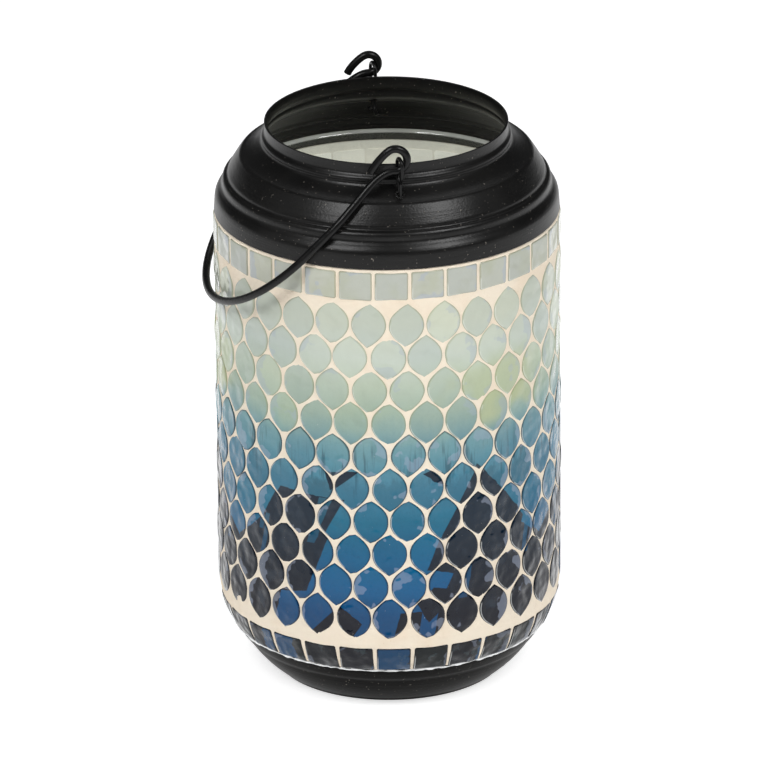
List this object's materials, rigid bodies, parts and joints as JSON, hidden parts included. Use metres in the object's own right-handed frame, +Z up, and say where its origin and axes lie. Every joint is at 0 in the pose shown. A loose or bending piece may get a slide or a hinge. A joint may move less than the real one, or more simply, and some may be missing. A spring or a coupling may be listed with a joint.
{
  "type": "mosaic jar lantern",
  "caption": "Open-topped glass jar lantern faced with a mosaic of pointed oval glass tiles, with a stepped black collar, a base dish and a wire bail that swings over the mouth.",
  "frame": {"origin": "centre of the base dish's flat underside", "axes": "+Z up along the jar's axis; +Y through the rear eyelet; the bail rests on the -X side and swings about Y"},
  "size_m": [0.1135, 0.11, 0.1914],
  "materials": {
    "clear_glass": "clear pressed glass",
    "grout": "matt cream tile grout",
    "border_tile_glass": "back-painted glass, glossy",
    "pale_tile_glass": "back-painted glass, glossy",
    "sage_tile_glass": "back-painted glass, glossy",
    "teal_tile_glass": "back-painted glass, glossy",
    "blue_tile_glass": "back-painted glass, glossy",
    "deep_blue_tile_glass": "back-painted glass, glossy",
    "navy_tile_glass": "back-painted glass, glossy",
    "black_paint": "satin black paint on pressed steel",
    "black_wire": "satin black paint on steel wire",
    "tin": "bright pressed foil",
    "wax": "smooth candle wax",
    "wick": "braided cotton"
  },
  "bodies": {
    "jar": {"glass_jar": "clear_glass", "grout_shell": "grout", "top_border_tiles": "border_tile_glass", "tile_row_01": "pale_tile_glass", "tile_row_02": "pale_tile_glass", "tile_row_03": "pale_tile_glass", "tile_row_04": "sage_tile_glass", "tile_row_05": "teal_tile_glass", "tile_row_06": "blue_tile_glass", "tile_row_07": "blue_tile_glass", "tile_row_08": "deep_blue_tile_glass", "tile_row_09": "deep_blue_tile_glass", "tile_row_10": "deep_blue_tile_glass", "bottom_border_tiles": "navy_tile_glass", "collar": "black_paint", "base_dish": "black_paint", "front_eyelet": "black_wire", "rear_eyelet": "black_wire", "candle_cup": "tin", "candle_wax": "wax", "candle_wick": "wick"},
    "bail": {"bail_handle": "black_wire"}
  },
  "joints": [
    {"name": "bail_swing", "type": "hinge", "parent": "jar", "child": "bail", "pos_m": [-0.0014, 0, 0.1864], "axis": [0, 1, 0], "range_deg": [0, 245]}
  ]
}
